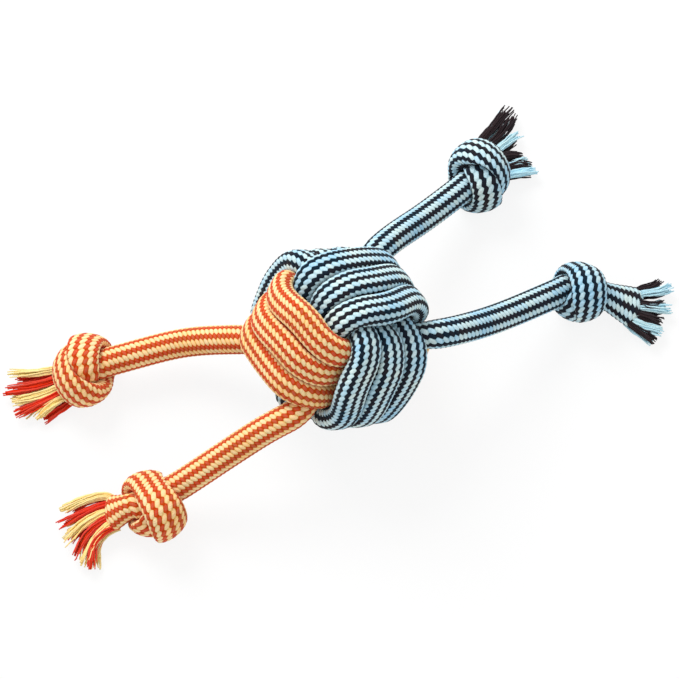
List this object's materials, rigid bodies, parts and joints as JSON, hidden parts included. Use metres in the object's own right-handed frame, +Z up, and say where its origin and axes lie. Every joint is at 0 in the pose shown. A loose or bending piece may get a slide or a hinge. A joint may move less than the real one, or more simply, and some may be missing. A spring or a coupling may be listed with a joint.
{
  "type": "rope dog toy",
  "caption": "Braided rope dog toy: a monkey's fist ball of two ropes, with free rope legs that end in overhand knots and frayed tassels.",
  "frame": {"origin": "middle of the flat on the fist's lowest strand, on the surface that the toy lies on", "axes": "+Z up; +X towards the blue legs, -X towards the orange legs; -Y towards the viewer's side of the picture"},
  "size_m": [0.3466, 0.2593, 0.0964],
  "materials": {
    "orange_rope": "braided cotton, red-orange and pale yellow yarns in lengthwise stripes",
    "blue_rope": "braided cotton, light blue and brown-black yarns in lengthwise stripes",
    "core_stuffing": "packed cotton waste, hidden inside the fist"
  },
  "bodies": {
    "fist": {"core_ball": "core_stuffing", "orange_winding": "orange_rope", "blue_top_winding": "blue_rope", "blue_side_winding": "blue_rope", "orange_left_leg_root": "orange_rope", "orange_front_leg_root": "orange_rope", "blue_back_leg_root": "blue_rope", "blue_right_leg_root": "blue_rope"},
    "orange_left_inner": {"orange_left_leg_inner": "orange_rope"},
    "orange_left_outer": {"orange_left_leg_outer": "orange_rope", "orange_left_knot": "orange_rope", "orange_left_tassel": "orange_rope"},
    "orange_front_inner": {"orange_front_leg_inner": "orange_rope"},
    "orange_front_outer": {"orange_front_leg_outer": "orange_rope", "orange_front_knot": "orange_rope", "orange_front_tassel": "orange_rope"},
    "blue_back_inner": {"blue_back_leg_inner": "blue_rope"},
    "blue_back_outer": {"blue_back_leg_outer": "blue_rope", "blue_back_knot": "blue_rope", "blue_back_tassel": "blue_rope"},
    "blue_right_inner": {"blue_right_leg_inner": "blue_rope"},
    "blue_right_outer": {"blue_right_leg_outer": "blue_rope", "blue_right_knot": "blue_rope", "blue_right_tassel": "blue_rope"}
  },
  "joints": [
    {"name": "orange_left_swing", "type": "hinge", "parent": "fist", "child": "orange_left_inner", "pos_m": [-0.05138, 0.00569, 0.029], "axis": [0, 0, 1], "range_deg": [-35, 15]},
    {"name": "orange_left_lift", "type": "hinge", "parent": "orange_left_inner", "child": "orange_left_outer", "pos_m": [-0.07438, 0.00769, 0.02], "axis": [-0.2425, 0.9701, 0], "range_deg": [-30, 75]},
    {"name": "orange_front_swing", "type": "hinge", "parent": "fist", "child": "orange_front_inner", "pos_m": [-0.02738, -0.04931, 0.048], "axis": [0, 0, 1], "range_deg": [-15, 35]},
    {"name": "orange_front_lift", "type": "hinge", "parent": "orange_front_inner", "child": "orange_front_outer", "pos_m": [-0.04838, -0.05831, 0.035], "axis": [-0.4913, 0.871, 0], "range_deg": [-30, 75]},
    {"name": "blue_back_swing", "type": "hinge", "parent": "fist", "child": "blue_back_inner", "pos_m": [0.03262, 0.05569, 0.042], "axis": [0, 0, 1], "range_deg": [-15, 35]},
    {"name": "blue_back_lift", "type": "hinge", "parent": "blue_back_inner", "child": "blue_back_outer", "pos_m": [0.04862, 0.07269, 0.03], "axis": [0.7421, -0.6703, 0], "range_deg": [-30, 75]},
    {"name": "blue_right_swing", "type": "hinge", "parent": "fist", "child": "blue_right_inner", "pos_m": [0.06362, -0.00031, 0.054], "axis": [0, 0, 1], "range_deg": [-35, 15]},
    {"name": "blue_right_lift", "type": "hinge", "parent": "blue_right_inner", "child": "blue_right_outer", "pos_m": [0.08562, 0.01369, 0.037], "axis": [0.4789, -0.8779, 0], "range_deg": [-30, 75]}
  ]
}
